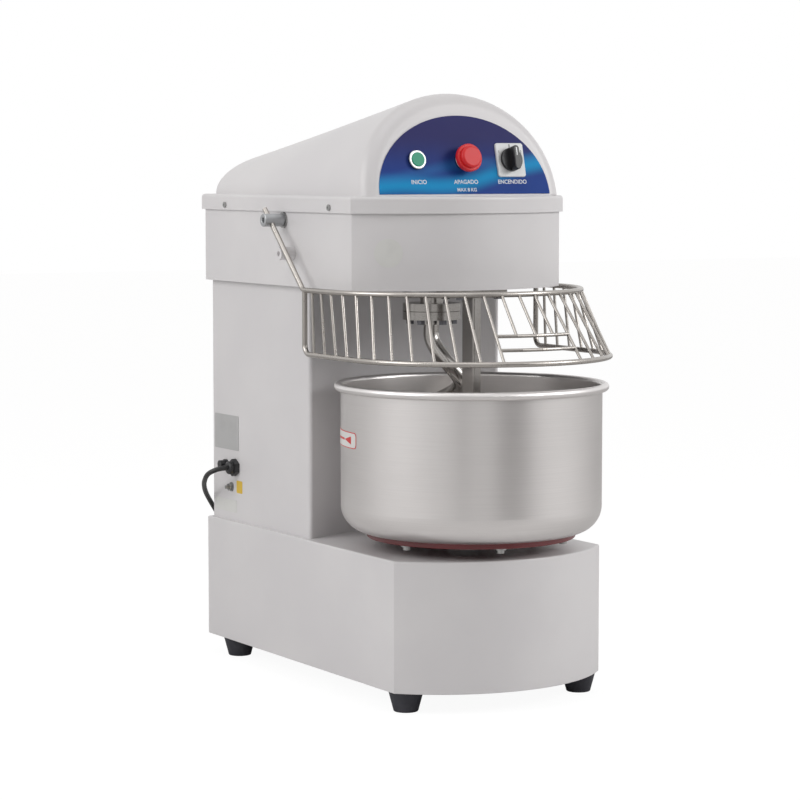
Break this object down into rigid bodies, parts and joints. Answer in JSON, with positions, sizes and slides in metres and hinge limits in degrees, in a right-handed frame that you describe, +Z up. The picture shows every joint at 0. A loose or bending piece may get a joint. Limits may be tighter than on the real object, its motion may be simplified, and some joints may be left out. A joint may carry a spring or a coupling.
{
  "type": "spiral dough mixer",
  "caption": "Bench spiral dough mixer with a turning stainless bowl, a spiral hook, a breaker bar, a lifting rod guard and a round-topped head with its control panel.",
  "frame": {"origin": "on the floor under the middle of the machine, measured without its cord", "axes": "+Z up, the bowl and panel face -Y, +X to the machine's left hand as seen from behind"},
  "size_m": [0.4388, 0.8579, 0.9031],
  "materials": {
    "white_paint": "gloss enamel",
    "inner_steel": "mill finish plate",
    "stainless": "brushed stainless",
    "bright_steel": "ground",
    "zinc_steel": "zinc plated",
    "pulley_iron": "machined",
    "motor_aluminium": "cast",
    "red_paint": "dark red paint",
    "black_rubber": "matt",
    "cord_black": "satin",
    "black_plastic": "moulded",
    "grey_plastic": "moulded",
    "bezel_chrome": "polished",
    "panel_blue": "printed film",
    "button_green": "moulded",
    "button_red": "moulded",
    "plate_white": "moulded"
  },
  "bodies": {
    "frame": {"base_floor": "inner_steel", "base_shell": "white_paint", "bowl_belt": "black_rubber", "breaker_bar": "stainless", "breaker_bolts": "zinc_steel", "button_bezels": "bezel_chrome", "cable_gland": "black_plastic", "column_shell": "white_paint", "contact_blocks": "grey_plastic", "contactor": "grey_plastic", "control_panel": "panel_blue", "cord_coil": "cord_black", "cord_tie": "black_plastic", "earth_bolt": "zinc_steel", "foot_bolts": "zinc_steel", "fuse_holder": "black_plastic", "guard_bushes": "zinc_steel", "head_housing": "white_paint", "head_plate": "inner_steel", "hook_bearings": "bright_steel", "hook_housing": "inner_steel", "interlock_switch": "black_plastic", "layshaft_bearings": "bright_steel", "mains_plug": "black_plastic", "motor_belt": "black_rubber", "motor_housing": "motor_aluminium", "motor_mount": "inner_steel", "motor_stator": "bright_steel", "panel_screws": "zinc_steel", "power_cord": "cord_black", "rear_cover": "white_paint", "rubber_feet": "black_rubber", "selector_plate": "plate_white", "stop_bosses": "white_paint", "top_cover": "white_paint", "transfer_belt": "black_rubber", "turntable_bearings": "bright_steel", "turntable_housing": "inner_steel"},
    "turntable": {"bowl": "stainless", "bowl_carrier": "red_paint", "carrier_bolts": "zinc_steel", "turntable_shaft": "bright_steel", "bowl_pulley": "pulley_iron"},
    "hook": {"spiral_hook": "stainless", "hook_shaft": "stainless", "hook_bolts": "zinc_steel", "hook_pulley": "pulley_iron"},
    "motor": {"motor_rotor": "bright_steel", "motor_pulley": "pulley_iron"},
    "lay": {"layshaft": "bright_steel", "layshaft_top_pulley": "pulley_iron", "layshaft_low_pulley": "pulley_iron"},
    "guard": {"guard_top_ring": "stainless", "guard_bottom_ring": "stainless", "guard_spokes": "stainless", "guard_pivots": "zinc_steel"},
    "start": {"start_button": "button_green"},
    "stop": {"stop_button": "button_red"},
    "selector": {"selector_knob": "black_plastic"}
  },
  "joints": [
    {"name": "hook_spin", "type": "hinge", "parent": "frame", "child": "hook", "pos_m": [0, -0.0415, 0.5], "axis": [0, 0, -1], "continuous": true},
    {"name": "bowl_spin", "type": "hinge", "parent": "frame", "child": "turntable", "pos_m": [0, -0.157, 0.2], "axis": [0, 0, -1], "continuous": true},
    {"name": "motor_spin", "type": "hinge", "parent": "frame", "child": "motor", "pos_m": [0, 0.255, 0.5], "axis": [0, 0, -1], "continuous": true},
    {"name": "layshaft_spin", "type": "hinge", "parent": "frame", "child": "lay", "pos_m": [0.095, 0.15, 0.3], "axis": [0, 0, -1], "continuous": true},
    {"name": "guard_lift", "type": "hinge", "parent": "frame", "child": "guard", "pos_m": [0, 0.095, 0.712], "axis": [-1, 0, 0], "range_deg": [0, 75]},
    {"name": "start_press", "type": "slide", "parent": "frame", "child": "start", "axis": [0, 0.9728, -0.2317], "range_m": [0, 0.003], "stiffness_N_per_m": 600, "springref_m": -0.002},
    {"name": "stop_press", "type": "slide", "parent": "frame", "child": "stop", "axis": [0, 0.9728, -0.2317], "range_m": [0, 0.005], "stiffness_N_per_m": 800, "springref_m": -0.002},
    {"name": "selector_turn", "type": "hinge", "parent": "frame", "child": "selector", "pos_m": [0.084, -0.13004, 0.80329], "axis": [0, 0.9728, -0.2317], "range_deg": [-60, 60]}
  ],
  "couplings": [
    {"joint": "motor_spin", "follows": "hook_spin", "ratio": 5.2},
    {"joint": "layshaft_spin", "follows": "hook_spin", "ratio": 0.4},
    {"joint": "bowl_spin", "follows": "hook_spin", "ratio": 0.10909}
  ]
}
